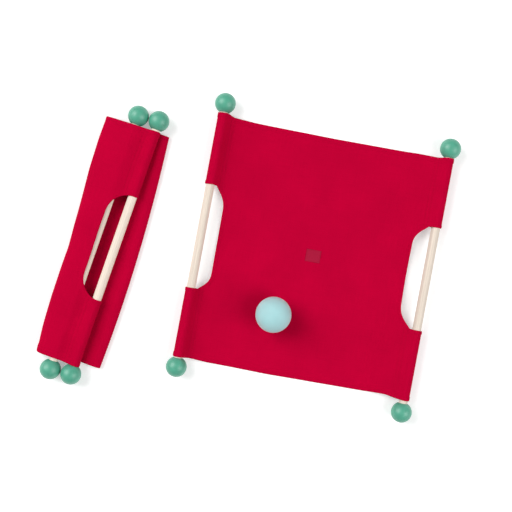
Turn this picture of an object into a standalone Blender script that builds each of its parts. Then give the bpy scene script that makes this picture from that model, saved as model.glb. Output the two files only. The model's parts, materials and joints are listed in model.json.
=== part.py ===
"""Toss-and-catch cloth set: a catcher spread flat, a folded catcher and a soft ball.

A catcher is a canvas sheet with a dowel in a sewn casing along two opposite sides. Grip cut-outs
bare the middle of each dowel, and a turned wooden ball sits on each dowel end.

Metres, +Z up. The origin is on the floor under the middle of the spread sheet. +Y runs along its
dowels and +X runs across it. Cloth profiles are worked out in a plane across the dowels, as (x, z).
"""

import math

import bmesh
import bpy
from mathutils import Vector

# Dowels and end balls
DOWEL_DIAMETER = 0.015
DOWEL_CHAMFER = 0.001
END_BALL_DIAMETER = 0.035
SOCKET_DEPTH = 0.020
GLUE_GAP = 0.0003
DOWEL_END_PLAY = 0.007
SLID_END_GAP = 0.0006

# Cloth and sewing
SHEET_LENGTH = 0.413
CLOTH_THICKNESS = 0.001
LAYER_GAP = 0.0004
CASING_EASE = 0.0004
SEAM_REACH = 0.012
HEM_WIDTH = 0.009
GRIP_LENGTH = 0.176
GRIP_REACH = 0.0345
GRIP_CORNER = 0.034

# Spread catcher
DOWEL_SPACING = 0.386
LEFT_FLAT_RUN = 0.015
LEFT_KNEE_RUN = 0.0150
LEFT_KNEE_HEIGHT = 0.0095
KNEE_SOFTNESS = 0.005
RIGHT_SLOPE_RUN = 0.065
FOOT_SOFTNESS = 0.008
FLAP_WIDTH = 0.091
CREASE_GAP = 0.0006
EDGE_BOW = 0.0015

# Sewn patch
PATCH_WIDTH = 0.025
PATCH_HEIGHT = 0.021
PATCH_THICKNESS = 0.0006
PATCH_OFFSET_Y = 0.003

# Folded catcher
FOLDED_PLACE_X = -0.3312
FOLDED_PLACE_Y = -0.0448
FOLDED_TURN_DEGREES = -8.65
DOWEL_BALL_GAP = 0.0004
FOLD_LEFT_REACH = 0.080
FOLD_RIGHT_REACH = 0.0407
FOLD_SKEW = 0.007
RIGHT_FOLD_SKEW = 0.009
RIGHT_FOLD_BOW = 0.0076
SOFT_FOLD_RADIUS = 0.0050
UNDER_DOWEL_LAYER = 0.0068
PLEAT_DEPTH = 0.018
PLEAT_TUCK = 0.002

# Toss ball
TOSS_BALL_DIAMETER = 0.060
TOSS_BALL_X = -0.0489
TOSS_BALL_Y = -0.1057
RESTING_GAP = 0.0003

# Facets
BALL_RINGS = 14
TURNED_SEGMENTS = 24
TOSS_BALL_SEGMENTS = 32
CASING_SEGMENTS = 20
FOLD_SEGMENTS = 8
CORNER_SEGMENTS = 7
STATIONS = 8

# Sizes that follow from those above
DOWEL_RADIUS = DOWEL_DIAMETER / 2
BALL_RADIUS = END_BALL_DIAMETER / 2
DOWEL_HEIGHT = BALL_RADIUS
CASING_RADIUS = DOWEL_RADIUS + CASING_EASE + CLOTH_THICKNESS / 2
CASING_OUTSIDE = CASING_RADIUS + CLOTH_THICKNESS / 2
LAYER_PITCH = CLOTH_THICKNESS + LAYER_GAP
FLOOR_LAYER = CLOTH_THICKNESS / 2
BALL_FACE = math.sqrt(BALL_RADIUS**2 - CASING_OUTSIDE**2)
BALL_SPAN = SHEET_LENGTH + DOWEL_END_PLAY + 2 * BALL_FACE
DOWEL_SLIP = DOWEL_END_PLAY / 2 - SLID_END_GAP
DOWEL_IN_BALL = SOCKET_DEPTH - GLUE_GAP
DOWEL_LENGTH = BALL_SPAN - 2 * (BALL_RADIUS - DOWEL_IN_BALL)

COLOURS = {
    "red_canvas": ((0.53, 0.003, 0.035), 0.85),
    "natural_wood": ((0.80, 0.70, 0.60), 0.55),
    "green_paint": ((0.13, 0.44, 0.31), 0.35),
    "aqua_rubber": ((0.43, 0.74, 0.77), 0.60),
    "patch_cloth": ((0.62, 0.02, 0.06), 0.80),
}


def make_material(name):
    """A Principled material in one of the set's colours."""
    colour, roughness = COLOURS[name]
    material = bpy.data.materials.new(name)
    material.use_nodes = True
    shader = material.node_tree.nodes["Principled BSDF"]
    shader.inputs["Base Color"].default_value = (*colour, 1)
    shader.inputs["Roughness"].default_value = roughness
    shader.inputs["Metallic"].default_value = 0
    return material


def add_empty(name, location=(0, 0, 0), turn=0, parent=None):
    """An empty that carries a catcher or a moving piece."""
    empty = bpy.data.objects.new(name, None)
    bpy.context.collection.objects.link(empty)
    empty.location = location
    empty.rotation_euler = (0, 0, turn)
    empty.parent = parent
    return empty


def add_object(name, shape, material_name, parent, location=(0, 0, 0)):
    """Turn a bmesh into a named object with a material of its own."""
    mesh = bpy.data.meshes.new(name)
    bmesh.ops.recalc_face_normals(shape, faces=shape.faces)
    shape.to_mesh(mesh)
    shape.free()
    mesh.shade_smooth()
    mesh.set_sharp_from_angle(angle=math.radians(40))
    thing = bpy.data.objects.new(name, mesh)
    bpy.context.collection.objects.link(thing)
    thing.location = location
    thing.parent = parent
    mesh.materials.append(make_material(material_name))
    return thing


def turned(profile, segments):
    """Spin a profile of (radius, y) points round the Y axis into a closed body."""
    shape = bmesh.new()
    points = [shape.verts.new((radius, y, 0)) for radius, y in profile]
    edges = [shape.edges.new(pair) for pair in zip(points, points[1:])]
    bmesh.ops.spin(
        shape,
        geom=points + edges,
        cent=(0, 0, 0),
        axis=(0, 1, 0),
        angle=math.tau,
        steps=segments,
        use_merge=True,
    )
    bmesh.ops.remove_doubles(shape, verts=shape.verts, dist=1e-6)
    return shape


def arc(centre, radius, start, end, segments):
    """Points on an arc in the (x, z) plane, both ends included."""
    angles = [start + (end - start) * i / segments for i in range(segments + 1)]
    return [centre + radius * Vector((math.cos(a), math.sin(a))) for a in angles]


def angle_of(vector):
    return math.atan2(vector.y, vector.x)


def tangent_angle(centre, radius, point, turn):
    """Where a straight run of cloth from a point meets a round that it then wraps, turn by turn."""
    away = point - centre
    return angle_of(away) + turn * math.acos(radius / away.length)


def casing_profile(centre, meets, turn):
    """Cloth round a dowel, from where it meets the dowel to the end of the hem sewn to its back.

    turn is +1 where the cloth wraps the dowel anticlockwise and -1 where it wraps it clockwise.
    """
    out = Vector((math.cos(meets), math.sin(meets)))
    along_sheet = turn * Vector((out.y, -out.x))
    seam = centre + out * (CASING_RADIUS - LAYER_PITCH) + along_sheet * SEAM_REACH
    leaves = tangent_angle(centre, CASING_RADIUS, seam, -turn)
    sweep = turn * ((turn * (leaves - meets)) % math.tau)
    wrap = arc(centre, CASING_RADIUS, meets, meets + sweep, CASING_SEGMENTS)
    return wrap + [seam, seam + along_sheet * HEM_WIDTH]


def softened(before, corner, after, reach):
    """A corner of a profile rounded by a quadratic curve that starts and ends at the given reach."""
    start = corner + (before - corner).normalized() * reach
    end = corner + (after - corner).normalized() * reach
    shares = [i / CORNER_SEGMENTS for i in range(CORNER_SEGMENTS + 1)]
    return [
        start * (1 - t) ** 2 + corner * (2 * t * (1 - t)) + end * t**2 for t in shares
    ]


def point_along(path, distance):
    """The point at a distance along a path."""
    for first, second in zip(path, path[1:]):
        step = (second - first).length
        if distance <= step:
            return first.lerp(second, distance / step)
        distance -= step
    return path[-1]


def cloth(name, stations, parent, location=(0, 0, 0)):
    """A cloth piece: rows of points skinned into a surface and given the cloth's thickness."""
    shape = bmesh.new()
    origin = Vector(location)
    rows = [[shape.verts.new(p - origin) for p in row] for row in stations]
    for row, following in zip(rows, rows[1:]):
        for i in range(len(row) - 1):
            shape.faces.new((row[i], row[i + 1], following[i + 1], following[i]))
    thing = add_object(name, shape, "red_canvas", parent, location)
    wall = thing.modifiers.new("thickness", "SOLIDIFY")
    wall.thickness = CLOTH_THICKNESS
    wall.offset = 0
    wall.use_even_offset = True
    return thing


def grip_cutter(name, inner_x, outer_x, dowel_x, low, high, parent):
    """A rounded prism that cuts a grip: round-cornered at the sheet side, open past the dowel."""
    half = GRIP_LENGTH / 2
    straight = half - GRIP_CORNER
    depth = inner_x - dowel_x
    angles = [
        math.pi / 2 * i / (2 * CORNER_SEGMENTS) for i in range(2 * CORNER_SEGMENTS + 1)
    ]
    corner = [
        (dowel_x + depth * math.cos(a), straight + GRIP_CORNER * math.sin(a))
        for a in angles
    ]
    outline = corner + [(outer_x, half), (outer_x, -half)]
    outline += [(x, -y) for x, y in reversed(corner)]
    shape = bmesh.new()
    base = shape.faces.new([shape.verts.new((x, y, low)) for x, y in outline])
    grown = bmesh.ops.extrude_face_region(shape, geom=[base])
    top = [v for v in grown["geom"] if isinstance(v, bmesh.types.BMVert)]
    bmesh.ops.translate(shape, verts=top, vec=(0, 0, high - low))
    cutter = add_object(name, shape, "red_canvas", parent)
    cutter.hide_render = True
    cutter.display_type = "WIRE"
    return cutter


def cut_grip(thing, cutter):
    cut = thing.modifiers.new("grip", "BOOLEAN")
    cut.operation = "DIFFERENCE"
    cut.solver = "EXACT"
    cut.object = cutter


def dowel_profile():
    half = DOWEL_LENGTH / 2
    return [
        (0, half),
        (DOWEL_RADIUS - DOWEL_CHAMFER, half),
        (DOWEL_RADIUS, half - DOWEL_CHAMFER),
        (DOWEL_RADIUS, -half + DOWEL_CHAMFER),
        (DOWEL_RADIUS - DOWEL_CHAMFER, -half),
        (0, -half),
    ]


def end_ball_profile(end):
    """A turned ball, centred on the origin, with a blind socket on the side away from the end."""
    socket_radius = DOWEL_RADIUS + GLUE_GAP
    mouth = math.asin(socket_radius / BALL_RADIUS)
    angles = [(math.pi - mouth) * i / BALL_RINGS for i in range(BALL_RINGS + 1)]
    outside = [(BALL_RADIUS * math.sin(a), BALL_RADIUS * math.cos(a)) for a in angles]
    bottom = SOCKET_DEPTH - BALL_RADIUS
    profile = outside + [(socket_radius, bottom), (0, bottom)]
    return [(radius, end * y) for radius, y in profile]


def add_dowel(prefix, centre, parent):
    """A dowel along Y with a ball glued on each end. centre is on the dowel's axis, mid-length."""
    dowel = add_object(
        f"{prefix}_dowel",
        turned(dowel_profile(), TURNED_SEGMENTS),
        "natural_wood",
        parent,
        centre,
    )
    for place, end in (("far", 1), ("near", -1)):
        add_object(
            f"{prefix}_ball_{place}",
            turned(end_ball_profile(end), TURNED_SEGMENTS),
            "green_paint",
            dowel,
            (0, end * BALL_SPAN / 2, 0),
        )


def sheet_half_length(x):
    """Half the spread sheet's length at a distance across it; its open edges bow in a little."""
    across = min(1, abs(x) / (DOWEL_SPACING / 2))
    return SHEET_LENGTH / 2 - EDGE_BOW * (1 - across**2)


def across_spread(profile_x):
    """Positions along Y of the points in one column of the spread sheet."""
    half = sheet_half_length(profile_x)
    return [half * (2 * j / STATIONS - 1) for j in range(STATIONS + 1)]


def spread_flap_profile(slope_run, knee):
    """Cloth from the crease, up its slope and round the dowel, with the dowel at x = 0.

    The sheet's middle is on the +X side. A knee, where there is one, is the point at which the slope
    turns steep. Also gives how far in the grip cut-out reaches.
    """
    dowel = Vector((0, DOWEL_HEIGHT))
    crease = Vector((FLAP_WIDTH - CREASE_GAP / 2, FLOOR_LAYER))
    foot = Vector((slope_run, FLOOR_LAYER))
    meets = tangent_angle(dowel, CASING_RADIUS, knee or foot, 1)
    casing = casing_profile(dowel, meets, 1)
    bend = softened(crease, foot, knee or casing[0], FOOT_SOFTNESS)
    if knee:
        bend += softened(foot, knee, casing[0], KNEE_SOFTNESS)
    crown = arc(dowel, CASING_RADIUS, math.pi / 2, meets, FOLD_SEGMENTS)
    grip = point_along(crown + bend[::-1] + [crease], GRIP_REACH)
    return [crease] + bend + casing, grip.x


def spread_flap(side_name, side, slope_run, knee, slip, parent):
    """One flap of the spread sheet, with its dowel. side is -1 for the left and +1 for the right."""
    dowel_x = side * DOWEL_SPACING / 2
    crease_x = dowel_x - side * FLAP_WIDTH
    profile, grip_reach = spread_flap_profile(slope_run, knee)
    columns = []
    for point in profile:
        x = dowel_x - side * point.x
        columns.append([Vector((x, y, point.y)) for y in across_spread(x)])
    stations = [[column[j] for column in columns] for j in range(STATIONS + 1)]
    hinge = (crease_x, 0, CLOTH_THICKNESS + LAYER_GAP / 2)
    flap = cloth(f"spread_sheet_{side_name}_flap", stations, parent, hinge)
    cutter = grip_cutter(
        f"spread_{side_name}_grip_cutter",
        dowel_x - side * grip_reach,
        dowel_x + side * 2 * CASING_OUTSIDE,
        dowel_x,
        -CLOTH_THICKNESS,
        DOWEL_HEIGHT + 2 * CASING_OUTSIDE,
        parent,
    )
    cut_grip(flap, cutter)
    add_dowel(f"spread_{side_name}", (dowel_x, slip, DOWEL_HEIGHT), parent)


def spread_middle(parent):
    """The flat middle of the spread sheet, between the two creases."""
    half_width = DOWEL_SPACING / 2 - FLAP_WIDTH - CREASE_GAP / 2
    columns = []
    for i in range(2 * STATIONS + 1):
        x = half_width * (i / STATIONS - 1)
        columns.append([Vector((x, y, FLOOR_LAYER)) for y in across_spread(x)])
    stations = [[column[j] for column in columns] for j in (0, STATIONS)]
    cloth("spread_sheet_middle", stations, parent)


def sewn_patch(parent):
    """A small blank patch sewn to the middle of the sheet."""
    shape = bmesh.new()
    bmesh.ops.create_cube(shape, size=1)
    bmesh.ops.scale(
        shape, verts=shape.verts, vec=(PATCH_WIDTH, PATCH_HEIGHT, PATCH_THICKNESS)
    )
    height = CLOTH_THICKNESS + RESTING_GAP + PATCH_THICKNESS / 2
    add_object("sewn_patch", shape, "patch_cloth", parent, (0, PATCH_OFFSET_Y, height))


def spread_catcher():
    carrier = add_empty("spread_catcher")
    spread_middle(carrier)
    left_knee = Vector((LEFT_KNEE_RUN, LEFT_KNEE_HEIGHT))
    spread_flap("left", -1, FLAP_WIDTH - LEFT_FLAT_RUN, left_knee, DOWEL_SLIP, carrier)
    spread_flap("right", 1, RIGHT_SLOPE_RUN, None, -DOWEL_SLIP, carrier)
    sewn_patch(carrier)


# Folded catcher. Its own frame has the upper dowel over x = 0 and the lower dowel to its left.
LOWER_DOWEL_X = -(END_BALL_DIAMETER + DOWEL_BALL_GAP)
OUTER_FOLD_RADIUS = 3 * LAYER_PITCH
LAYER_2 = FLOOR_LAYER + LAYER_PITCH
HINGE_HEIGHT = FLOOR_LAYER + 2 * OUTER_FOLD_RADIUS + LAYER_PITCH / 2
OVER_LOWER_CASING = CASING_OUTSIDE + LAYER_GAP + CLOTH_THICKNESS / 2


def folded_rows():
    """Positions along the dowels of the folded sheet's cross-sections."""
    return [SHEET_LENGTH * (j / STATIONS - 0.5) for j in range(STATIONS + 1)]


def fold_shift(y):
    """The folds lean a little to the dowels, so they shift across as they run along them."""
    return -FOLD_SKEW * y / (SHEET_LENGTH / 2)


def right_fold_edge(y):
    """How far the soft right fold reaches in the cross-section at y; it bows out in the middle."""
    share = y / (SHEET_LENGTH / 2)
    return FOLD_RIGHT_REACH - RIGHT_FOLD_SKEW * share - RIGHT_FOLD_BOW * share**2


def outer_fold_centre(y):
    """Centre of the rounded left fold in the cross-section at y."""
    edge = -FOLD_LEFT_REACH + fold_shift(y)
    inset = CLOTH_THICKNESS / 2 + OUTER_FOLD_RADIUS
    return Vector((edge + inset, FLOOR_LAYER + OUTER_FOLD_RADIUS))


def folded_upper_profile(y):
    """Top layer: from the left fold up over the lower dowel, to the upper dowel and round it."""
    upper = Vector((0, DOWEL_HEIGHT))
    lower = Vector((LOWER_DOWEL_X, DOWEL_HEIGHT))
    start = outer_fold_centre(y) + Vector((CREASE_GAP, OUTER_FOLD_RADIUS))
    rises = tangent_angle(lower, OVER_LOWER_CASING, start, -1)
    meets = math.acos((OVER_LOWER_CASING - CASING_RADIUS) / -LOWER_DOWEL_X)
    hump = arc(lower, OVER_LOWER_CASING, rises % math.tau, meets, FOLD_SEGMENTS)
    return [start] + hump + casing_profile(upper, meets, -1)


def folded_under_profile(y):
    """The two lowest layers: round the left fold, along the floor and back over the right fold."""
    left = outer_fold_centre(y)
    right_x = right_fold_edge(y) - CLOTH_THICKNESS / 2 - SOFT_FOLD_RADIUS
    right = Vector((right_x, FLOOR_LAYER + SOFT_FOLD_RADIUS))
    quarter = math.pi / 2
    points = arc(left, OUTER_FOLD_RADIUS, quarter, 3 * quarter, FOLD_SEGMENTS)
    points += arc(right, SOFT_FOLD_RADIUS, -quarter, quarter, FOLD_SEGMENTS)
    return points + [
        Vector((0, UNDER_DOWEL_LAYER)),
        Vector((LOWER_DOWEL_X, LAYER_2)),
        Vector((left.x + CREASE_GAP + LAYER_PITCH / 2, LAYER_2)),
    ]


def folded_inner_profile(y):
    """The hidden layer: a pleat that takes up spare cloth, then the lower dowel's casing."""
    lower = Vector((LOWER_DOWEL_X, DOWEL_HEIGHT))
    left_x = outer_fold_centre(y).x + LAYER_PITCH / 2
    radius = LAYER_PITCH / 2
    quarter = math.pi / 2
    first = Vector((left_x, LAYER_2 + radius))
    second = Vector((left_x + PLEAT_DEPTH, LAYER_2 + 3 * radius))
    third = Vector((left_x - PLEAT_TUCK, LAYER_2 + 5 * radius))
    points = arc(first, radius, 3 * quarter, quarter, FOLD_SEGMENTS)
    points += arc(second, radius, -quarter, quarter, FOLD_SEGMENTS)
    points += arc(third, radius, 3 * quarter, quarter, FOLD_SEGMENTS)
    meets = tangent_angle(lower, CASING_RADIUS, points[-1], 1)
    return points + casing_profile(lower, meets, 1)


def folded_stations(profile):
    rows = []
    for y in folded_rows():
        rows.append([Vector((p.x, y, p.y)) for p in profile(y)])
    return rows


def folded_catcher():
    turn = math.radians(FOLDED_TURN_DEGREES)
    carrier = add_empty("folded_catcher", (FOLDED_PLACE_X, FOLDED_PLACE_Y, 0), turn)
    hinge = (outer_fold_centre(0).x + CREASE_GAP / 2, 0, HINGE_HEIGHT)
    upper = cloth(
        "folded_sheet_upper_flap",
        folded_stations(folded_upper_profile),
        carrier,
        hinge,
    )
    cloth("folded_sheet_under_layers", folded_stations(folded_under_profile), carrier)
    inner = cloth(
        "folded_sheet_inner_layers", folded_stations(folded_inner_profile), carrier
    )
    top = DOWEL_HEIGHT + 2 * CASING_OUTSIDE
    upper_cutter = grip_cutter(
        "folded_upper_grip_cutter",
        -GRIP_REACH,
        2 * CASING_OUTSIDE,
        0,
        0,
        top,
        carrier,
    )
    cut_grip(upper, upper_cutter)
    between_layers = FLOOR_LAYER + 3.5 * LAYER_PITCH
    lower_cutter = grip_cutter(
        "folded_lower_grip_cutter",
        LOWER_DOWEL_X - GRIP_REACH,
        LOWER_DOWEL_X + 2 * CASING_OUTSIDE,
        LOWER_DOWEL_X,
        between_layers,
        top,
        carrier,
    )
    cut_grip(inner, lower_cutter)
    add_dowel("folded_upper", (0, 0, DOWEL_HEIGHT), carrier)
    add_dowel("folded_lower", (LOWER_DOWEL_X, -DOWEL_SLIP, DOWEL_HEIGHT), carrier)


def toss_ball():
    radius = TOSS_BALL_DIAMETER / 2
    shape = bmesh.new()
    bmesh.ops.create_uvsphere(
        shape,
        u_segments=TOSS_BALL_SEGMENTS,
        v_segments=TOSS_BALL_SEGMENTS // 2,
        radius=radius,
    )
    height = CLOTH_THICKNESS + RESTING_GAP + radius
    place = (TOSS_BALL_X, TOSS_BALL_Y, height)
    add_object("toss_ball", shape, "aqua_rubber", None, place)


def main():
    for thing in list(bpy.data.objects):
        bpy.data.objects.remove(thing, do_unlink=True)
    spread_catcher()
    folded_catcher()
    toss_ball()


main()
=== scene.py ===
# %% [markdown]
# # A toss-and-catch cloth set
# Two canvas catch sheets, each with a wooden dowel sewn into two opposite sides, and one soft ball.
# One sheet lies spread with the ball on it and the other lies folded beside it. This lesson dresses
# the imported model, so every size below is read from that model or is a size that a maker would name.

# %% Load the model that this script dresses
import json
import math

import bmesh
import bpy
import numpy as np
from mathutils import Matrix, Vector


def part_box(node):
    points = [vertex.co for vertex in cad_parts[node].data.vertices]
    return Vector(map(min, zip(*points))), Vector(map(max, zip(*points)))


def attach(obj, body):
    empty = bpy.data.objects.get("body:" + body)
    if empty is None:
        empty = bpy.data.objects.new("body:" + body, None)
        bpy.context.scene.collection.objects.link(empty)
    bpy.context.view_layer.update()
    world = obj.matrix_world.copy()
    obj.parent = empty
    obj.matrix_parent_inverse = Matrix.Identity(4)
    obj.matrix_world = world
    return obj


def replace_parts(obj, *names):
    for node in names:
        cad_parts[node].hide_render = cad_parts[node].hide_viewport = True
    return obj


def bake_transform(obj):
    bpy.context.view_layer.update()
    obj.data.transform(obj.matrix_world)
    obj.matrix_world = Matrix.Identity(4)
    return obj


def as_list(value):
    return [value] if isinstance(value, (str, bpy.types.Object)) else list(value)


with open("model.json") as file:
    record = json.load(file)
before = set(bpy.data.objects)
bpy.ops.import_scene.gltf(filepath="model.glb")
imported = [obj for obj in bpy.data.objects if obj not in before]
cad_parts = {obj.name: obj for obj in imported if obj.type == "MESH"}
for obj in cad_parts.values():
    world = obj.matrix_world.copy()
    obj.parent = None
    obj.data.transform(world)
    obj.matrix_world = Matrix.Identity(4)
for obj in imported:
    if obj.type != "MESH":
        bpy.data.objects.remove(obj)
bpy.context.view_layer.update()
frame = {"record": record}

JOINTS = {joint["name"]: joint for joint in frame["record"]["behaviour"]["joints"]}

# %% [markdown]
# ## Camera
# The set is seen from straight above, turned a little, so the dowels of the spread sheet lean to the
# right. An orthographic camera would show every ball from dead centre. A real lens shows a little of
# the side of whatever stands near the edge of the view, so a long lens from well above is used, and
# its focal length follows from the height and the width of floor that it should see.

# %% Make the camera
VIEW_HEIGHT = 1.60
VIEW_WIDTH = 0.8704
VIEW_TURN = math.radians(10.59)
VIEW_MIDDLE = Vector((-0.0954, -0.0148, 0))
SENSOR = 36

camera = bpy.data.objects.new("camera", bpy.data.cameras.new("camera"))
bpy.context.collection.objects.link(camera)
camera.data.sensor_width = SENSOR
camera.data.lens = SENSOR * VIEW_HEIGHT / VIEW_WIDTH
camera.location = VIEW_MIDDLE + Vector((0, 0, VIEW_HEIGHT))
camera.rotation_euler = (0, 0, VIEW_TURN)
bpy.context.scene.camera = camera
bpy.context.scene.view_settings.view_transform = "Standard"
print("lens:", round(camera.data.lens, 1), "mm")

# %% [markdown]
# ## Floor and light
# A pale floor takes the shadows. One large lamp would leave hard, dark shadows on one side, and an
# even sky would leave none. A studio uses soft boxes, so there is a key box from the left of the view
# and a little above it, a weaker fill box from the right, and an even white surround. Together they
# light a flat white card to about white, so a colour renders about as it is written.

# %% Helpers that make a material and the nodes in it


def shader_of(material):
    return material.node_tree.nodes["Principled BSDF"]


def new_material(name, roughness, specular=0.5, **fixed):
    """A Principled material; fixed sets sockets that are the same all over the surface."""
    material = bpy.data.materials.new(name)
    material.use_nodes = True
    shader = shader_of(material)
    shader.inputs["Roughness"].default_value = roughness
    shader.inputs["Specular IOR Level"].default_value = specular
    for socket, value in fixed.items():
        shader.inputs[socket.replace("_", " ").title()].default_value = value
    return material


def maths(tree, operation, first, second=None):
    """A Math node; its inputs are sockets or plain numbers."""
    node = tree.nodes.new("ShaderNodeMath")
    node.operation = operation
    for socket, value in zip(node.inputs, (first, second)):
        if isinstance(value, (int, float)):
            socket.default_value = value
        elif value is not None:
            tree.links.new(value, socket)
    return node.outputs[0]


def map_range(tree, value, **ends):
    """A Map Range node; ends are given as from_min, from_max, to_min and to_max."""
    node = tree.nodes.new("ShaderNodeMapRange")
    for socket, end in ends.items():
        node.inputs[socket.replace("_", " ").title()].default_value = end
    tree.links.new(value, node.inputs["Value"])
    return node.outputs["Result"]


# %% Make the floor
FLOOR_SIZE = 8.0
FLOOR_DROP = 0.0004
FLOOR_WHITE = (0.86, 0.86, 0.86, 1)
# The floor's glow near the set and away from it, and the two distances between which it changes
FLOOR_GLOW = {"from_min": 0.7, "from_max": 2.0, "to_min": 0.36, "to_max": 1.0}


def floor_material():
    """A matt white that glows a little to the camera, so that it is white but keeps its shadows. Away
    from the set, where no shadow falls, it glows more and so fades into the surround."""
    material = bpy.data.materials.new("studio_floor")
    material.use_nodes = True
    tree = material.node_tree
    tree.nodes.clear()
    paper = tree.nodes.new("ShaderNodeBsdfDiffuse")
    paper.inputs["Color"].default_value = FLOOR_WHITE
    path = tree.nodes.new("ShaderNodeLightPath").outputs
    seen = maths(tree, "MAXIMUM", path["Is Camera Ray"], path["Is Glossy Ray"])
    away = tree.nodes.new("ShaderNodeVectorMath")
    away.operation = "LENGTH"
    tree.links.new(tree.nodes.new("ShaderNodeTexCoord").outputs["Object"], away.inputs[0])
    share = map_range(tree, away.outputs["Value"], **FLOOR_GLOW)
    glow = tree.nodes.new("ShaderNodeEmission")
    tree.links.new(maths(tree, "MULTIPLY", seen, share), glow.inputs["Strength"])
    both = tree.nodes.new("ShaderNodeAddShader")
    tree.links.new(paper.outputs[0], both.inputs[0])
    tree.links.new(glow.outputs[0], both.inputs[1])
    tree.links.new(both.outputs[0], tree.nodes.new("ShaderNodeOutputMaterial").inputs["Surface"])
    return material


floor_shape = bmesh.new()
bmesh.ops.create_grid(floor_shape, x_segments=1, y_segments=1, size=FLOOR_SIZE / 2)
floor_mesh = bpy.data.meshes.new("floor")
bmesh.ops.translate(floor_shape, verts=floor_shape.verts, vec=(0, 0, -FLOOR_DROP))
floor_shape.to_mesh(floor_mesh)
floor_shape.free()
floor = bpy.data.objects.new("floor", floor_mesh)
bpy.context.collection.objects.link(floor)
floor_mesh.materials.append(floor_material())
print("floor", FLOOR_SIZE, "m wide")

# %% Make the lights
VIEW_RIGHT = Vector((math.cos(VIEW_TURN), math.sin(VIEW_TURN), 0))
VIEW_UP = Vector((-math.sin(VIEW_TURN), math.cos(VIEW_TURN), 0))
BOX_SIZE = 3.4
BOX_DISTANCE = 3.5
BOX_HEIGHT = 3.2
KEY_POWER = 190
FILL_POWER = 128
SURROUND_LIGHT = 0.25


def soft_box(name, side, power):
    """A square area light that looks at the middle of the view from one side of it."""
    lamp = bpy.data.lights.new(name, "AREA")
    lamp.shape = "SQUARE"
    lamp.size = BOX_SIZE
    lamp.energy = power
    box = bpy.data.objects.new(name, lamp)
    bpy.context.collection.objects.link(box)
    box.location = VIEW_MIDDLE + side.normalized() * BOX_DISTANCE + Vector((0, 0, BOX_HEIGHT))
    box.rotation_euler = (VIEW_MIDDLE - box.location).to_track_quat("-Z", "Y").to_euler()
    return box


def surround():
    """An even white surround: weak as a light, and plain white where the camera sees it past the floor."""
    world = bpy.data.worlds.new("surround")
    world.use_nodes = True
    tree = world.node_tree
    background = tree.nodes["Background"].inputs
    background["Color"].default_value = (1, 1, 1, 1)
    seen = tree.nodes.new("ShaderNodeLightPath").outputs["Is Camera Ray"]
    tree.links.new(map_range(tree, seen, to_min=SURROUND_LIGHT, to_max=1.0), background["Strength"])
    return world


soft_box("key_box", VIEW_UP - 1.75 * VIEW_RIGHT, KEY_POWER)
soft_box("fill_box", VIEW_RIGHT - 0.4 * VIEW_UP, FILL_POWER)
bpy.context.scene.world = surround()

# %% [markdown]
# ## Shared finishes
# Canvas is a plain weave: each thread goes over one and under the next. A picture of cloth could be
# laid over the sheet, but it would blur close up and need an unwrapped mesh. A node group works out
# the height of the threads instead, from the cloth's own flat position. Every cloth mesh carries that
# as the attribute flat_place, so the threads follow the sheet round its dowels and folds. A second
# group draws a noise out along the grain of wood. It reads grain_place, a position in the dowel's own
# frame, and serves the bare wood and the painted balls, each with values of its own.

# %% Helpers for textures


def group_tree(name, inputs, outputs):
    tree = bpy.data.node_groups.new(name, "ShaderNodeTree")
    for socket, kind in inputs:
        tree.interface.new_socket(socket, in_out="INPUT", socket_type=kind)
    for socket, kind in outputs:
        tree.interface.new_socket(socket, in_out="OUTPUT", socket_type=kind)
    return tree, tree.nodes.new("NodeGroupInput"), tree.nodes.new("NodeGroupOutput")


def noise(tree, vector, scale, detail=2.0):
    """A noise texture, from 0 to 1."""
    node = tree.nodes.new("ShaderNodeTexNoise")
    node.inputs["Scale"].default_value = scale
    node.inputs["Detail"].default_value = detail
    tree.links.new(vector, node.inputs["Vector"])
    return node.outputs["Fac"]


def stretched(tree, vector, scale):
    """A place times a factor for each axis: a small factor draws a texture out along its axis."""
    node = tree.nodes.new("ShaderNodeMapping")
    node.inputs["Scale"].default_value = scale
    tree.links.new(vector, node.inputs["Vector"])
    return node.outputs["Vector"]


# %% Node group for the weave


def plain_weave():
    """Thread height over a plain weave, and how light each thread is beside its neighbours."""
    tree, given, result = group_tree(
        "plain_weave",
        [("Place", "NodeSocketVector"), ("Thread", "NodeSocketFloat")],
        [("Height", "NodeSocketFloat"), ("Slub", "NodeSocketFloat")],
    )
    parts = tree.nodes.new("ShaderNodeSeparateXYZ")
    tree.links.new(given.outputs["Place"], parts.inputs[0])
    across = maths(tree, "DIVIDE", parts.outputs["X"], given.outputs["Thread"])
    along = maths(tree, "DIVIDE", parts.outputs["Y"], given.outputs["Thread"])
    step = maths(tree, "ADD", maths(tree, "FLOOR", across), maths(tree, "FLOOR", along))
    odd = maths(tree, "FLOORED_MODULO", step, 2)
    even = maths(tree, "SUBTRACT", 1, odd)
    warp = maths(tree, "SINE", maths(tree, "MULTIPLY", maths(tree, "FRACT", across), math.pi))
    weft = maths(tree, "SINE", maths(tree, "MULTIPLY", maths(tree, "FRACT", along), math.pi))
    over = maths(tree, "ADD", maths(tree, "MULTIPLY", warp, odd), maths(tree, "MULTIPLY", weft, even))
    shares = []
    for scale, turn in (((900, 30, 1), odd), ((30, 900, 1), even)):
        uneven = noise(tree, stretched(tree, given.outputs["Place"], scale), 1.0)
        shares.append(maths(tree, "MULTIPLY", uneven, turn))
    slub = maths(tree, "ADD", *shares)
    tree.links.new(over, result.inputs["Height"])
    tree.links.new(slub, result.inputs["Slub"])
    return tree


WEAVE = plain_weave()
print("weave nodes:", len(WEAVE.nodes))

# %% Node group for the grain of wood


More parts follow.
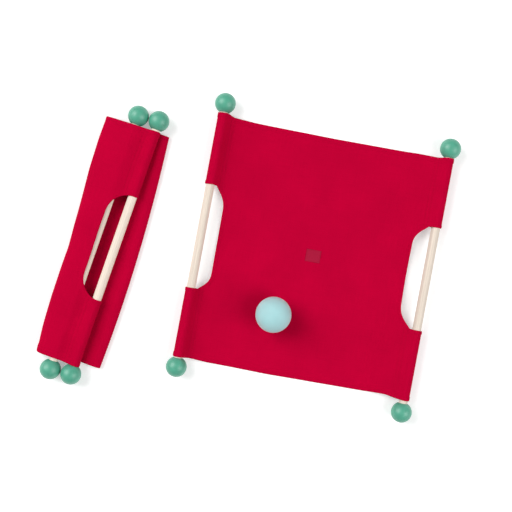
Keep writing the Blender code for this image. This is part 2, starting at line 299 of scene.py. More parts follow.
def wood_grain():
    """A noise with a stretch for each axis; it is drawn out along the axis where that is small."""
    tree, given, result = group_tree(
        "wood_grain",
        [
            ("Place", "NodeSocketVector"),
            ("Stretch", "NodeSocketVector"),
            ("Detail", "NodeSocketFloat"),
            ("Roughness", "NodeSocketFloat"),
        ],
        [("Grain", "NodeSocketFloat")],
    )
    drawn = tree.nodes.new("ShaderNodeMapping")
    texture = tree.nodes.new("ShaderNodeTexNoise")
    texture.inputs["Scale"].default_value = 1.0
    for source, socket in (
        (given.outputs["Place"], drawn.inputs["Vector"]),
        (given.outputs["Stretch"], drawn.inputs["Scale"]),
        (given.outputs["Detail"], texture.inputs["Detail"]),
        (given.outputs["Roughness"], texture.inputs["Roughness"]),
        (drawn.outputs["Vector"], texture.inputs["Vector"]),
        (texture.outputs["Fac"], result.inputs["Grain"]),
    ):
        tree.links.new(source, socket)
    return tree


GRAIN = wood_grain()
print("grain nodes:", len(GRAIN.nodes))

# %% [markdown]
# ## Canvas
# The sheets are one strong red, a little uneven from thread to thread, with a soft fuzz that catches
# light at the edges of rounds. A flat red would look like plastic, so the weave, its uneven threads
# and a slow fading each move the colour a little. The height of the threads goes into the bump, and
# it also darkens the colour between the threads and lightens their crowns as painted shade.
# The patch is woven too and the thread is a fine twist, both a little apart from it in colour.

# %% Helpers for groups, colour and bump


def place_attribute(tree, name):
    """A place that the mesh carries as an attribute."""
    node = tree.nodes.new("ShaderNodeAttribute")
    node.attribute_name = name
    return node.outputs["Vector"]


def add_group(tree, group, place, **values):
    """Set a node group in a material, with its own values, and give its outputs."""
    node = tree.nodes.new("ShaderNodeGroup")
    node.node_tree = group
    for socket, value in values.items():
        node.inputs[socket].default_value = value
    tree.links.new(place, node.inputs["Place"])
    return node.outputs


def scaled(colour, factor):
    return tuple(channel * factor for channel in colour)


def tint(material, tone, colour, shades, tones):
    """Give a material its colour, from the darker to the lighter of two shades of it as the tone goes
    from the lower to the higher of two values."""
    tree = material.node_tree
    node = tree.nodes.new("ShaderNodeValToRGB")
    for element, shade, position in zip(node.color_ramp.elements, shades, tones):
        element.position = position
        element.color = (*scaled(colour, shade), 1)
    tree.links.new(tone, node.inputs["Fac"])
    tree.links.new(node.outputs["Color"], shader_of(material).inputs["Base Color"])


def bump(material, height, strength, distance):
    """Shade a surface as if it stood up and down by a height, without moving it."""
    tree = material.node_tree
    node = tree.nodes.new("ShaderNodeBump")
    node.inputs["Strength"].default_value = strength
    node.inputs["Distance"].default_value = distance
    tree.links.new(height, node.inputs["Height"])
    tree.links.new(node.outputs["Normal"], shader_of(material).inputs["Normal"])


# %% Canvas and patch materials
CANVAS_RED = (0.540, 0.0004, 0.0350)
PATCH_RED = (0.43, 0.013, 0.050)
CANVAS_THREAD = 0.0008
PATCH_THREAD = 0.0005


def woven_material(name, colour, thread):
    """Cloth of one colour in a plain weave; thread is the width of a thread."""
    material = new_material(name, 0.9, specular=0.01, sheen_weight=0.015, sheen_roughness=0.5)
    shader_of(material).inputs["Sheen Tint"].default_value = (1.0, 0.35, 0.45, 1)
    tree = material.node_tree
    place = place_attribute(tree, "flat_place")
    weave = add_group(tree, WEAVE, place, Thread=thread)
    fade = noise(tree, place, 14.0, 3.0)
    threads = maths(tree, "MULTIPLY", weave["Slub"], 0.45)
    # Painted shade: the colour follows the threads' height, darker down between them and lighter on their
    # crowns
    painted_thread_shade = maths(tree, "MULTIPLY", weave["Height"], 0.22)
    faded = maths(tree, "MULTIPLY", fade, 0.33)
    tone = maths(tree, "ADD", maths(tree, "ADD", threads, painted_thread_shade), faded)
    tint(material, tone, colour, (0.84, 1.10), (0.33, 0.70))
    bump(material, weave["Height"], 0.5, 0.0002)
    return material


CANVAS = woven_material("red_canvas_weave", CANVAS_RED, CANVAS_THREAD)
PATCH_CLOTH = woven_material("patch_weave", PATCH_RED, PATCH_THREAD)
print("woven materials:", CANVAS.name, PATCH_CLOTH.name)

# %% Thread material
THREAD_RED = (0.47, 0.0006, 0.031)


def thread_material():
    """Sewing thread: its twist shows as fine specks of lighter and darker red."""
    material = new_material("sewing_thread", 0.8, specular=0.08)
    tree = material.node_tree
    where = tree.nodes.new("ShaderNodeTexCoord").outputs["Object"]
    twist = noise(tree, where, 2500.0, 1.0)
    tint(material, twist, THREAD_RED, (0.8, 1.25), (0.3, 0.7))
    return material


THREAD = thread_material()
print("thread material:", THREAD.name)

# %% [markdown]
# ## Cloth, cut flat and then wrapped
# A maker cuts the sheet flat, with a round-cornered notch for each grip, and then wraps its sides
# round the dowels. A cloth simulation could drape it, but would not keep an edge or a fold just where
# it belongs, so the mesh is made as the maker works. A place on the flat cut is (s, y): y runs along
# the dowel, and s is the distance over the cloth from the line where it meets the dowel, positive
# towards the middle of the sheet and negative round the dowel to the hem. A table of cross-sections,
# worked out below for each sheet, says where each (s, y) goes.

# %% Sizes of the sewing, and those read from the model


def size_of(node):
    """Length, width and height of a piece of the model."""
    low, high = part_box(node)
    return high - low


CLOTH = size_of("spread_sheet_middle").z
DOWEL_RADIUS = size_of("spread_left_dowel").x / 2
BALL_RADIUS = size_of("spread_left_ball_far").z / 2
SHEET_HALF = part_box("spread_sheet_left_flap")[1].y
HALF_SPACING = JOINTS["spread_right_dowel_turn"]["pos_m"][0]
LAYER_GAP = 0.0004
PITCH = CLOTH + LAYER_GAP
CASING_EASE = 0.0004
CASING = DOWEL_RADIUS + CASING_EASE + CLOTH / 2
SEAM_REACH = 0.012
HEM_END = 0.009
FLOOR_LAYER = CLOTH / 2
print("cloth", round(CLOTH * 1000, 2), "mm; half a sheet", round(SHEET_HALF * 1000, 1), "mm")

# %% Arcs, tangents and soft corners in a cross-section


def arc(centre, radius, start, end, steps):
    angles = np.linspace(start, end, steps + 1)
    return np.stack([centre[0] + radius * np.cos(angles), centre[1] + radius * np.sin(angles)], 1)


def tangent_angle(centre, radius, point, turn):
    """Where a straight run of cloth from a point meets a round that it then wraps."""
    away = np.subtract(point, centre)
    return math.atan2(away[1], away[0]) + turn * math.acos(radius / np.hypot(*away))


def on_round(centre, radius, angle):
    return np.add(centre, radius * np.array((math.cos(angle), math.sin(angle))))


def soft_corner(before, corner, after, reach):
    """A corner of a cross-section rounded by a quadratic curve."""
    start = corner + (before - corner) / np.linalg.norm(before - corner) * reach
    end = corner + (after - corner) / np.linalg.norm(after - corner) * reach
    t = np.linspace(0, 1, 13)[:, None]
    return start * (1 - t) ** 2 + corner * 2 * t * (1 - t) + end * t**2


# %% Distances along a path, and the casing round a dowel
HALF_STEP = 0.0005


def path_length(points):
    return np.linalg.norm(np.diff(points, axis=0), axis=1).sum()


def path_steps(points):
    """How far along a path each of its points is."""
    return np.concatenate([[0], np.cumsum(np.linalg.norm(np.diff(points, axis=0), axis=1))])


def along_path(points, distances):
    """The places at these distances along a path."""
    steps = path_steps(points)
    return np.stack([np.interp(distances, steps, points[:, i]) for i in (0, 1)], 1)


def even_steps(points, count):
    """A path sampled again in even steps."""
    return along_path(points, np.linspace(0, path_steps(points)[-1], count))


def unit_rows(vectors):
    return vectors / np.linalg.norm(vectors, axis=1)[:, None]


def casing(centre, meets, run):
    """Cloth from where it meets a dowel, round it, to the hem that is sewn to the back of its own run."""
    wanted = np.linspace(SEAM_REACH, SEAM_REACH + HEM_END, 12)
    ahead, behind = along_path(run, wanted + HALF_STEP), along_path(run, wanted - HALF_STEP)
    along = unit_rows(ahead - behind)
    under = (ahead + behind) / 2 + PITCH * np.stack([along[:, 1], -along[:, 0]], 1)
    leaves = tangent_angle(centre, CASING, under[0], -1)
    return np.concatenate([arc(centre, CASING, meets, meets + (leaves - meets) % math.tau, 90), under])


print("casing radius", round(CASING * 1000, 2), "mm")

# %% Tables of cross-sections
STATIONS = np.linspace(-SHEET_HALF, SHEET_HALF, 49)
MIDDLE_STATION = len(STATIONS) // 2
SAMPLE = 0.0004
# How far to each side of a place the slope of the cloth is measured, over the cloth and along the dowel
SLOPE_OVER, SLOPE_ALONG = 0.0003, 0.002


class Wrap:
    """Where each place of a flat cut goes. sections(y) gives the run from the dowel to the middle of the
    sheet, and the run round the dowel. Both start where the cloth meets the dowel."""

    def __init__(self, sections, to_world, mirrored, lift=None, ends=None):
        inward, round_dowel = sections(0)
        self.s_high, self.s_low = path_length(inward), -path_length(round_dowel)
        counts = [max(2, int(length / SAMPLE)) for length in (self.s_high, -self.s_low)]
        rows = []
        for y in STATIONS:
            inward, round_dowel = sections(y)
            front, back = even_steps(inward, counts[0]), even_steps(round_dowel, counts[1])
            rows.append(np.concatenate([back[::-1], front[1:]]))
        self.table = np.array(rows)
        self.s_grid = np.concatenate(
            [np.linspace(self.s_low, 0, counts[1]), np.linspace(0, self.s_high, counts[0])[1:]]
        )
        self.to_world, self.mirrored, self.lift, self.ends = to_world, mirrored, lift, ends

    def local(self, s, y):
        """Places of the flat cut once it is wrapped, before the sheet is set in its place in the world."""
        i = np.clip(np.searchsorted(self.s_grid, s) - 1, 0, len(self.s_grid) - 2)
        step = (y - STATIONS[0]) / (STATIONS[1] - STATIONS[0])
        j = np.clip(step.astype(int), 0, len(STATIONS) - 2)
        u = ((s - self.s_grid[i]) / (self.s_grid[i + 1] - self.s_grid[i]))[:, None]
        v = (step - j)[:, None]
        near = self.table[j, i] * (1 - u) + self.table[j, i + 1] * u
        far = self.table[j + 1, i] * (1 - u) + self.table[j + 1, i + 1] * u
        x, z = (near * (1 - v) + far * v).T
        if self.lift:
            z = z + self.lift(s, y, z)
        if self.ends:
            y = y * (1 + self.ends(x, y) / SHEET_HALF)
        return np.stack([x, y, z], 1)

    def surface(self, s, y):
        """World places and outward directions of the cloth's mid-surface."""
        s, y = np.asarray(s, float), np.asarray(y, float)
        s_low, s_high = np.maximum(s - SLOPE_OVER, self.s_low), np.minimum(s + SLOPE_OVER, self.s_high)
        y_low, y_high = np.maximum(y - SLOPE_ALONG, -SHEET_HALF), np.minimum(y + SLOPE_ALONG, SHEET_HALF)
        over = self.local(s_high, y) - self.local(s_low, y)
        out = unit_rows(np.cross(over, self.local(s, y_high) - self.local(s, y_low)))
        origin = self.to_world(np.zeros((1, 3)))
        return self.to_world(self.local(s, y)), self.to_world(out) - origin

    def hem_share(self, s):
        """How far a hem stands up at s: fully, all over a spread sheet."""
        return np.ones(np.shape(s))

    def length_at(self, distance):
        """The s, on the run to the middle, that lies at a distance seen from above."""
        ahead = self.s_grid >= 0
        return float(np.interp(distance, self.table[MIDDLE_STATION, ahead, 0], self.s_grid[ahead]))


print("cross-sections along a sheet:", len(STATIONS))

# %% [markdown]
# ## The grip and the hems
# A grip is a notch through the sheet's side, where a hand closes round the bare dowel. It is cut
# square across the casing, its inner corners are round, and it is open past the dowel. Its edge is
# turned and stitched, and so are the sheet's two open edges. A Boolean could cut the notch out of the
# wrapped cloth, but would leave ragged faces along it. Here the flat cut is filled with triangles that
# follow every edge and every row of stitches, so that a hem can stand up and a row of stitches can
# sink in.

# %% Sizes of the grip and the hems
GRIP_HALF = 0.088
GRIP_CORNER = 0.037
GRIP_KINK = 0.37
HEM_BAND = 0.0075
HEM_STITCH = 0.0052
GRIP_BAND = 0.0052
GRIP_STITCH = 0.0034
HEM_LINES = (0.0008, 0.0022, 0.0040, 0.0046, HEM_STITCH, 0.0058, 0.0066, HEM_BAND, 0.0083)
GRIP_LINES = (0.0007, 0.0018, 0.0028, GRIP_STITCH, 0.0040, GRIP_BAND, 0.0060)
print("grip", round(2000 * GRIP_HALF), "mm long; hem", round(1000 * HEM_BAND, 1), "mm wide")

# %% Outline of the flat cut
# How far the handles of the corner's curve reach, and how a kink moves them
ROUND_PULL, KINK_PULL, KINK_RISE = 0.55, 0.18, 0.65


def ramp(value, start, width):
    """0 up to start, 1 from start + width on, and straight between."""
    return np.clip((value - start) / width, 0, 1)


def grip_half(wrap, depth, half, kink, corner):
    """A grip's edge from the middle of its inner side to the hem at one end. kink is the share of the
    depth that is cut square across the casing; past it the edge is a curve to the inner side."""
    straight = half - corner
    inner = wrap.length_at(depth)
    level = [(inner, y) for y in np.linspace(0, straight, 12)[:-1]]
    t = np.linspace(0, 1, 29)
    pull_1, pull_2 = 3 * t * (1 - t) ** 2, 3 * t**2 * (1 - t)
    share = (1 - t) ** 3 + pull_1 + (ROUND_PULL + KINK_PULL * kink) * pull_2 + kink * t**3
    rise = ROUND_PULL * pull_1 + (1 - KINK_RISE * kink) * pull_2 + t**3
    curve = [(wrap.length_at(depth * u), straight + corner * v) for u, v in zip(share, rise)]
    rest = np.linspace(curve[-1][0], wrap.s_low, 48)[1:]
    past = np.stack([rest, np.full(len(rest), half)], 1)
    return np.concatenate([level, curve, past])


def grip_edge(wrap, depth, half=GRIP_HALF, tilt=0.0, kink=GRIP_KINK, corners=(GRIP_CORNER, GRIP_CORNER)):
    """A grip's edge on the flat cut, from the hem at its far end round its inner side to the near end."""
    far, near = (grip_half(wrap, depth, half, kink, corner) for corner in corners)
    edge = np.concatenate([far[::-1], (near * (1, -1))[1:]])
    edge[:, 0] -= tilt * edge[:, 1] * ramp(edge[:, 0], 0, far[0, 0])
    return edge


# %% Lines beside an edge, and distances from it


def beside(edge, distance, s_low):
    """A line at a distance from a grip's edge, on the cloth's side of it, that ends at the hem's end."""
    along = unit_rows(np.gradient(edge, axis=0))
    line = edge + distance * np.stack([-along[:, 1], along[:, 0]], 1)
    line = line[line[:, 0] > s_low + 0.0003]
    return np.concatenate([[(s_low, line[0, 1])], line, [(s_low, line[-1, 1])]])


def distance_to(line, s, y):
    """Distance of each place on the flat cut from a line."""
    fine = even_steps(line, 700)
    best = np.full(len(s), 1.0)
    for part in np.array_split(fine, 14):
        gap = np.hypot(s[:, None] - part[None, :, 0], y[:, None] - part[None, :, 1])
        best = np.minimum(best, gap.min(1))
    return best


# %% Columns of the fill, and what lies inside an outline
ROUND_STEP, SLOPE_STEP, FLAT_STEP = 0.0011, 0.0018, 0.0032
ROUND_END, SLOPE_START, SLOPE_END = 0.004, 0.0056, 0.050
FIELD_MARGIN = 0.0115


def columns_of(wrap):
    """Where the columns of the fill stand: close round the dowel and wider over the flat."""
    count = max(3, int((ROUND_END - wrap.s_low) / ROUND_STEP))
    round_dowel = np.linspace(wrap.s_low, ROUND_END, count)
    slope = np.arange(SLOPE_START, min(SLOPE_END, wrap.s_high), SLOPE_STEP)
    flat = np.arange(slope[-1] + 0.003, wrap.s_high - 0.001, FLAT_STEP)
    return np.concatenate([round_dowel, slope, flat, [wrap.s_high]])


def inside(outline, points):
    """Which points lie inside a closed outline."""
    odd = np.zeros(len(points), bool)
    for (x0, y0), (x1, y1) in zip(outline, np.roll(outline, -1, axis=0)):
        crosses = (y0 > points[:, 1]) != (y1 > points[:, 1])
        if y0 != y1:
            odd ^= crosses & (points[:, 0] < (x1 - x0) * (points[:, 1] - y0) / (y1 - y0) + x0)
    return odd


# %% Fill the flat cut with triangles
from mathutils.geometry import delaunay_2d_cdt


def fill_cut(wrap, edge, columns=None):
    """Points and triangles of a flat cut. edge is the grip's edge, or None for a piece with no grip."""
    columns = columns_of(wrap) if columns is None else columns
    half = SHEET_HALF
    side = [(s, half) for s in columns[::-1]]
    if edge is None:
        end = [(wrap.s_low, y) for y in np.linspace(half, -half, 90)[1:-1]]
    else:
        mouth = [(wrap.s_low, y) for y in np.linspace(half, edge[0, 1], 30)[1:-1]]
        end = mouth + [tuple(p) for p in edge] + [(s, -y) for s, y in mouth[::-1]]
    join = [(wrap.s_high, y) for y in np.linspace(-half, half, 110)[1:-1]]
    outline = np.array(side + end + [(s, -y) for s, y in side[::-1]] + join)
    lines = [np.array([(s, sign * (half - d)) for s in columns]) for d in HEM_LINES for sign in (1, -1)]
    if edge is not None:
        lines += [beside(edge, d, wrap.s_low) for d in GRIP_LINES]
    rows = np.linspace(-half + FIELD_MARGIN, half - FIELD_MARGIN, 96)
    field = np.array([(s, y) for s in columns[1:-1] for y in rows])
    keep = inside(outline, field)
    if edge is not None:
        keep &= distance_to(edge, field[:, 0], field[:, 1]) > GRIP_LINES[-1] + 0.0006
    points, edges = [outline], [(i, (i + 1) % len(outline)) for i in range(len(outline))]
    count = len(outline)
    for line in lines:
        edges += [(count + i, count + i + 1) for i in range(len(line) - 1)]
        points.append(line)
        count += len(line)
    points.append(field[keep])
    flat = [Vector(p) for p in np.concatenate(points)]
    done = delaunay_2d_cdt(flat, edges, [], 0, 1e-6)
    places = np.array([tuple(v) for v in done[0]])
    triangles = np.array([tuple(f) for f in done[2]])
    return places, triangles[inside(outline, places[triangles].mean(1))]


# %% How far a hem stands up
STEP_WIDTH = 0.0008
ROLL_WIDTH = 0.0016
STITCH_WIDTH = 0.0006


def hem_rise(distance, band, stitch, extra):
    """How far a turned hem stands up, with a dip along its stitches and a rolled edge."""
    share = ramp(band - distance, -STEP_WIDTH / 2, STEP_WIDTH)
    rolled = np.sqrt(ramp(distance, 0, ROLL_WIDTH))
    dip = np.exp(-(((distance - stitch) / STITCH_WIDTH) ** 2))
    return extra * share * (0.35 + 0.65 * rolled - 0.5 * dip)


def cloth_rise(wrap, edge, s, y, extra):
    """The higher of the two hems that a place lies on; edge is the grip's edge, or None."""
    rise = hem_rise(SHEET_HALF - np.abs(y), HEM_BAND, HEM_STITCH, extra)
    if edge is not None:
        near = distance_to(edge, s, y)
        rise = np.maximum(rise, hem_rise(near, GRIP_BAND, GRIP_STITCH, extra))
    return rise * wrap.hem_share(s)


# %% Helpers that make a mesh object and give it an attribute


def mesh_object(name, points, faces, material, smooth=55):
    """A smooth-shaded object; edges that turn by more than the given degrees stay sharp."""
    mesh = bpy.data.meshes.new(name)
    mesh.from_pydata([tuple(p) for p in points], [], faces)
    mesh.shade_smooth()
    mesh.set_sharp_from_angle(angle=math.radians(smooth))
    mesh.materials.append(material)
    thing = bpy.data.objects.new(name, mesh)
    bpy.context.collection.objects.link(thing)
    return thing


def vector_attribute(thing, name, values):
    layer = thing.data.attributes.new(name, "FLOAT_VECTOR", "POINT")
    layer.data.foreach_set("vector", np.asarray(values, np.float32).ravel())


# %% Give the cut its two faces and its rolled edges
RIM_ROLL = 0.0004


def boundary_of(triangles):
    """Edges that only one triangle has, each in that triangle's direction."""
    pairs = np.concatenate([triangles[:, [0, 1]], triangles[:, [1, 2]], triangles[:, [2, 0]]])
    key = np.sort(pairs, axis=1)
    _, first, counts = np.unique(key, axis=0, return_index=True, return_counts=True)
    return pairs[first[counts == 1]]


def cloth_object(name, wrap, edge, extra, columns=None):
    """The cloth of one flat cut: its outer face, its inner face and a rolled rim between them."""
    flat, triangles = fill_cut(wrap, edge, columns)
    s, y = flat.T
    middle, out = wrap.surface(s, y)
    outer = middle + out * (CLOTH / 2 + cloth_rise(wrap, edge, s, y, extra))[:, None]
    inner = middle - out * CLOTH / 2
    if wrap.mirrored:
        triangles = triangles[:, ::-1]
    rim = boundary_of(triangles)
    ring = np.unique(rim)
    along = middle[rim[:, 1]] - middle[rim[:, 0]]
    joins = (s[rim] > wrap.s_high - 1e-6).all(1)
    away = np.zeros_like(middle)
    for end in (0, 1):
        push = np.cross(along, out[rim[:, end]])
        push[joins] = 0
        np.add.at(away, rim[:, end], push / np.linalg.norm(along, axis=1)[:, None])
    size = np.linalg.norm(away[ring], axis=1)
    roll = away[ring] / np.maximum(size, 1e-9)[:, None] * RIM_ROLL
    lip = (outer[ring] + inner[ring]) / 2 + roll
    count = len(flat)
    lip_of = {int(v): 2 * count + i for i, v in enumerate(ring)}
    faces = [tuple(t) for t in triangles.tolist()]
    faces += [(c + count, b + count, a + count) for a, b, c in triangles.tolist()]
    for a, b in rim.tolist():
        faces.append((b, a, lip_of[a], lip_of[b]))
        faces.append((lip_of[b], lip_of[a], a + count, b + count))
    thing = mesh_object(name, np.concatenate([outer, inner, lip]), faces, CANVAS)
    place = np.stack([s, y, np.zeros(count)], 1)
    vector_attribute(thing, "flat_place", np.concatenate([place, place, place[ring]]))
    corner, second, third = (flat[triangles[:, i]] for i in range(3))
    thing["flat_area"] = float(np.abs(np.cross(second - corner, third - corner)).sum() / 2)
    print(name, "triangles:", 2 * len(triangles), "flat area:", round(thing["flat_area"], 4))
    return thing


# %% [markdown]
# ## Rows of stitches
# A machine seam is one short stitch repeated hundreds of times. Painted stitches would not catch the
# light, and an array along a curve would roll over where the cloth turns round a dowel, so a node tree
# makes them. A line that follows the cloth goes in with the cloth's outward direction on each point.
# The tree steps along the line at the stitch pitch, sets a small rounded stitch flat on the cloth at
# each step, and varies its length a little.

# %% The tree that sews a row


def add_node(tree, kind, **settings):
    node = tree.nodes.new(kind)
    for name, value in settings.items():
        setattr(node, name, value)
    return node


def sewing_tree():
    """Geometry nodes that set stitches along a line; each input below can be set for a row."""
    tree = bpy.data.node_groups.new("sewn_row", "GeometryNodeTree")
    face = tree.interface
    face.new_socket("Geometry", in_out="INPUT", socket_type="NodeSocketGeometry")
    for name, value in (("Pitch", 0.0032), ("Length", 0.0025), ("Thickness", 0.00055)):
        face.new_socket(name, in_out="INPUT", socket_type="NodeSocketFloat").default_value = value
    face.new_socket("Seed", in_out="INPUT", socket_type="NodeSocketInt")
    face.new_socket("Thread", in_out="INPUT", socket_type="NodeSocketMaterial")
    face.new_socket("Geometry", in_out="OUTPUT", socket_type="NodeSocketGeometry")
    given, result = add_node(tree, "NodeGroupInput"), add_node(tree, "NodeGroupOutput")
    curve = add_node(tree, "GeometryNodeMeshToCurve")
    steps = add_node(tree, "GeometryNodeResampleCurve", mode="LENGTH")
    stitch = add_node(tree, "GeometryNodeMeshUVSphere")
    stitch.inputs["Segments"].default_value = 6
    stitch.inputs["Rings"].default_value = 4
    stitch.inputs["Radius"].default_value = 0.5
    along = add_node(tree, "GeometryNodeInputTangent")
    up = add_node(tree, "GeometryNodeInputNamedAttribute", data_type="FLOAT_VECTOR")
    up.inputs["Name"].default_value = "out"
    first = add_node(tree, "FunctionNodeAlignRotationToVector", axis="X")
    second = add_node(tree, "FunctionNodeAlignRotationToVector", axis="Z", pivot_axis="X")
    vary = add_node(tree, "FunctionNodeRandomValue", data_type="FLOAT")
    vary.inputs[2].default_value = 0.88
    vary.inputs[3].default_value = 1.06
    longer = add_node(tree, "ShaderNodeMath", operation="MULTIPLY")
    size = add_node(tree, "ShaderNodeCombineXYZ")
    place = add_node(tree, "GeometryNodeInstanceOnPoints")
    real = add_node(tree, "GeometryNodeRealizeInstances")
    paint = add_node(tree, "GeometryNodeSetMaterial")
    for source, leaves, target, enters in (
        (given, "Geometry", curve, "Mesh"),
        (curve, "Curve", steps, "Curve"),
        (given, "Pitch", steps, "Length"),
        (steps, "Curve", place, "Points"),
        (stitch, "Mesh", place, "Instance"),
        (along, "Tangent", first, "Vector"),
        (first, "Rotation", second, "Rotation"),
        (up, "Attribute", second, "Vector"),
        (second, "Rotation", place, "Rotation"),
        (given, "Seed", vary, "Seed"),
        (given, "Length", longer, 0),
        (vary, 1, longer, 1),
        (longer, 0, size, "X"),
        (given, "Thickness", size, "Y"),
        (given, "Thickness", size, "Z"),
        (size, "Vector", place, "Scale"),
        (place, "Instances", real, "Geometry"),
        (real, "Geometry", paint, "Geometry"),
        (given, "Thread", paint, "Material"),
        (paint, "Geometry", result, "Geometry"),
    ):
        tree.links.new(source.outputs[leaves], target.inputs[enters])
    return tree


SEWING = sewing_tree()
print("sewing nodes:", len(SEWING.nodes))

# %% Sew rows on a cloth


def sew(name, rows, seed, **sizes):
    """Stitches along rows of (points, outward directions), as one plain mesh."""
    points = np.concatenate([p for p, _ in rows])
    edges, start = [], 0
    for row, _ in rows:
        edges += [(start + i, start + i + 1) for i in range(len(row) - 1)]
        start += len(row)
    mesh = bpy.data.meshes.new(name + "_rows")
    mesh.from_pydata([tuple(p) for p in points], edges, [])
    guide = bpy.data.objects.new(name + "_rows", mesh)
    bpy.context.collection.objects.link(guide)
    vector_attribute(guide, "out", np.concatenate([o for _, o in rows]))
    modifier = guide.modifiers.new("sewing", "NODES")
    modifier.node_group = SEWING
    sockets = {item.name: item.identifier for item in SEWING.interface.items_tree if item.in_out == "INPUT"}
    modifier[sockets["Seed"]] = seed
    modifier[sockets["Thread"]] = THREAD
    for socket, value in sizes.items():
        modifier[sockets[socket]] = value
    graph = bpy.context.evaluated_depsgraph_get()
    sewn = bpy.data.meshes.new_from_object(guide.evaluated_get(graph))
    sewn.name = name
    sewn.shade_smooth()
    if not sewn.materials:
        sewn.materials.append(THREAD)
    guide.modifiers.remove(modifier)
    bpy.data.objects.remove(guide)
    thing = bpy.data.objects.new(name, sewn)
    bpy.context.collection.objects.link(thing)
    print(name, "faces:", len(sewn.polygons))
    return thing


# %% Lines for the hems, the grips and the seams
ROW_STEP = 0.0016
# How far the middle of a stitch stands off the outer and the inner face
OUTER_STAND, INNER_STAND = 0.00010, 0.00005
SEAM_ROWS = (SEAM_REACH + 0.0012, SEAM_REACH + HEM_END - 0.0016)


def row_on(wrap, edge, line, extra, inner=False):
    """A row of stitches along a line on the flat cut, half sunk in the outer or the inner face."""
    line = np.asarray(line, float)
    s, y = even_steps(line, max(4, int(path_length(line) / ROW_STEP))).T
    middle, out = wrap.surface(s, y)
    if inner:
        return middle - out * (CLOTH / 2 + INNER_STAND), -out
    rise = cloth_rise(wrap, edge, s, y, extra)
    return middle + out * (CLOTH / 2 + rise + OUTER_STAND)[:, None], out


def hem_rows(wrap, edge, extra, faces=(False, True)):
    """The rows along a sheet's two open edges, on both faces."""
    reach = SHEET_HALF - HEM_STITCH
    lines = [[(s, sign * reach) for s in (wrap.s_low + 0.001, wrap.s_high)] for sign in (1, -1)]
    return [row_on(wrap, edge, line, extra, face) for line in lines for face in faces]


def grip_rows(wrap, edge, extra, faces=(False, True)):
    line = beside(edge, GRIP_STITCH, wrap.s_low)
    line = line[line[:, 0] > wrap.s_low + 0.001]
    half = len(line) // 2
    parts = (line[:half], line[half - 1 :])
    return [row_on(wrap, edge, part, extra, face) for part in parts for face in faces]


def seam_rows(wrap, edge, extra):
    """The rows that close the casing: on its upper face, on both sides of the grip."""
    rows = []
    for reach in SEAM_ROWS:
        for sign in (1, -1):
            side = edge[(edge[:, 1] * sign > 0) & (edge[:, 0] > 0)]
            side = side[np.argsort(side[:, 0])]
            inner_end = np.interp(reach, side[:, 0], side[:, 1]) + sign * (GRIP_STITCH + 0.001)
            line = [(reach, sign * (SHEET_HALF - 0.0015)), (reach, inner_end)]
            rows.append(row_on(wrap, edge, line, extra))
    return rows


print("casing seams:", [round(1000 * reach, 1) for reach in SEAM_ROWS], "mm in from the dowel")

# %% [markdown]
# ## The spread sheet
# The sheet lies flat in its middle, rises to each dowel and wraps it. On the left the cloth drops
# steeply from its dowel, and on the right it slopes down gently. Between the casings it sags. It could
# be one mesh, but its two flaps fold on hinges of their own and a mesh bends across one hinge only, so
# it is two halves that meet at the middle line. Real canvas keeps faint waves from being folded, so
# the flat part is lifted by up to about a millimetre, but not under the ball or the patch.

# %% Cross-sections of the spread sheet
# Bends of each side's run: distance from the dowel, height, and how softly the cloth turns there
LEFT_BENDS = ((0.0150, 0.0095, 0.0055), (0.076, FLOOR_LAYER, 0.030))
RIGHT_BENDS = ((0.065, FLOOR_LAYER, 0.015),)
DOWEL_AT = np.array((0.0, BALL_RADIUS))


def wander(y, seed):
    """A slow, fixed wandering between about -1 and 1 along the dowel."""
    return 0.6 * np.sin(2.1 * y / 0.1 + seed) + 0.4 * np.sin(5.3 * y / 0.1 + 2.7 * seed)


def spread_sections(bends, seed, sway):
    """Cross-sections of one half; its bends sway a little nearer to the dowel and further from it."""

    def sections(y):
        shift = sway * wander(y, seed)
        corners = [np.array((x + shift, height)) for x, height, _ in bends]
        meets = tangent_angle(DOWEL_AT, CASING, corners[0], 1)
        stops = [on_round(DOWEL_AT, CASING, meets)] + corners + [np.array((HALF_SPACING, FLOOR_LAYER))]
        turns = [soft_corner(*stops[i : i + 3], bend[2]) for i, bend in enumerate(bends)]
        run = np.concatenate([stops[:1], *turns, stops[-1:]])
        return run, casing(DOWEL_AT, meets, run)

    return sections


# %% Waves and sag of the spread sheet
BALL_LOW, BALL_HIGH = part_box("toss_ball")
BALL_AT = (BALL_LOW + BALL_HIGH) / 2
WAVE_HEIGHT = 0.0008
SLACK_HEIGHT = 0.0004
# The share of its height that the cloth loses in the middle of a grip
GRIP_SAG = 0.65


def spread_lift(side):
    """Faint waves of the flat cloth; none at the middle line, under the ball or on the slope's casing.
    Between its casings no dowel holds the cloth up, so it sags there."""

    def lift(s, y, z):
        x = side * (HALF_SPACING - s)
        wave = 0.5 + 0.5 * np.sin(38 * x + 21 * y + 0.8) * np.sin(17 * y - 24 * x + 2.0)
        slack = 0.5 + 0.5 * np.sin(11 * y + 30 * x)
        height = WAVE_HEIGHT * wave + SLACK_HEIGHT * slack
        near_ball = np.hypot(x - BALL_AT.x, y - BALL_AT.y)
        height = height * ramp(near_ball, 0.008, 0.05) * ramp(np.abs(x), 0.016, 0.03)
        height = height * ramp(s, SEAM_REACH + HEM_END, 0.02)
        sag = GRIP_SAG * np.cos(np.clip(y / GRIP_HALF, -1, 1) * math.pi / 2) ** 2 * (z - FLOOR_LAYER)
        return height - sag * ramp(s, SEAM_REACH, SEAM_REACH)

    return lift


print("waves of up to", round(1000 * (WAVE_HEIGHT + SLACK_HEIGHT), 1), "mm")

# %% Edges of the spread sheet


def smooth_line(places, values, width, steps=400):
    """A smooth curve near the given points, as a table of places and values."""
    fine = np.linspace(places[0], places[-1], steps)
    count = max(1, int(width / (fine[1] - fine[0])))
    padded = np.pad(np.interp(fine, places, values), count, mode="edge")
    window = np.hanning(2 * count + 1)
    return fine, np.convolve(padded, window / window.sum(), "valid")


